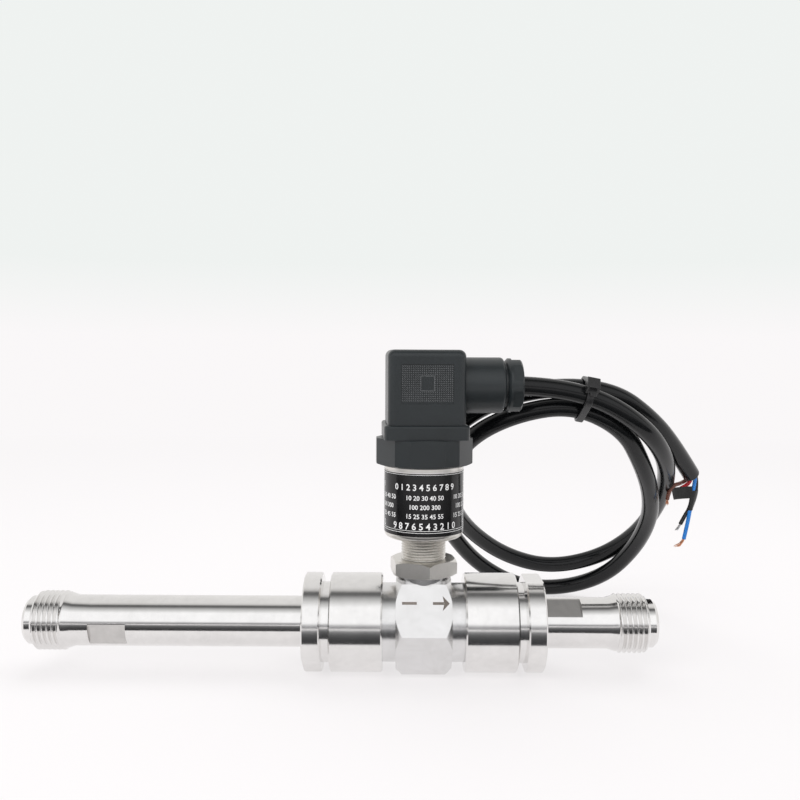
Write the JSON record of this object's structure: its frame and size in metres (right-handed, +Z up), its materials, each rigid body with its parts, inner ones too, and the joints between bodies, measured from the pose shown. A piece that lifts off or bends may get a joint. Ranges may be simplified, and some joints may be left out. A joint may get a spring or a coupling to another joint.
{
  "type": "turbine flow meter",
  "caption": "Straight threaded-pipe turbine flow meter with union nuts, hexagonal body, upright pickup sensor, angled plug connector and a coiled cable.",
  "frame": {"origin": "floor under the middle of the overall length: the round union nuts rest on z = 0", "axes": "+X along the flow from inlet to outlet, +Z up along the sensor, the coil lies towards +Y"},
  "size_m": [0.2592, 0.1226, 0.1155],
  "materials": {
    "pipe_steel": "turned stainless steel, semi-bright",
    "nut_steel": "turned stainless steel, bright",
    "body_steel": "milled stainless steel, satin faces",
    "nickel": "nickel plated, satin",
    "guide_steel": "turned stainless steel, satin",
    "black_plastic": "moulded, satin",
    "insert_plastic": "moulded, matt",
    "label_film": "printed film, gloss",
    "rubber": "matt",
    "copper": "enamelled wire",
    "brass_contacts": "tinned",
    "magnet": "sintered",
    "board": "solder mask",
    "chip": "moulded",
    "cable_jacket": "smooth PVC",
    "tie_plastic": "nylon",
    "brown_pvc": "PVC insulation",
    "blue_pvc": "PVC insulation",
    "black_pvc": "PVC insulation",
    "red_pvc": "PVC insulation",
    "ptfe": "matt"
  },
  "bodies": {
    "meter": {"barrel_seal": "rubber", "black_wire": "black_pvc", "blue_wire": "blue_pvc", "board_components": "chip", "brown_wire": "brown_pvc", "cable_grommet": "rubber", "cable_tie": "tie_plastic", "cap_nut": "black_plastic", "centre_screw": "nickel", "circuit_board": "board", "coil_bobbin": "insert_plastic", "coil_winding": "copper", "contact_blades": "brass_contacts", "contact_insert": "insert_plastic", "front_bush": "ptfe", "front_flow_guide": "guide_steel", "front_retaining_ring": "guide_steel", "gland_nut": "black_plastic", "gland_washer": "ptfe", "inlet_gasket": "ptfe", "inlet_pipe": "pipe_steel", "inlet_union_nut": "nut_steel", "label_wrap": "label_film", "lock_nut": "nickel", "meter_body": "body_steel", "outlet_gasket": "ptfe", "outlet_pipe": "pipe_steel", "outlet_union_nut": "nut_steel", "pickup_magnet": "magnet", "plug_housing": "black_plastic", "pole_piece": "magnet", "profile_gasket": "rubber", "rear_bush": "ptfe", "rear_flow_guide": "guide_steel", "rear_retaining_ring": "guide_steel", "red_wire": "red_pvc", "screw_seal": "rubber", "sensor_barrel": "nickel", "sensor_stem": "nickel", "signal_cable": "cable_jacket", "terminal_screws": "nickel", "wire_marker": "black_pvc"},
    "rotor": {"rotor": "guide_steel", "rotor_shaft": "guide_steel"}
  },
  "joints": [
    {"name": "rotor_spin", "type": "hinge", "parent": "meter", "child": "rotor", "pos_m": [0.0295, 0, 0.0175], "axis": [1, 0, 0], "continuous": true}
  ]
}
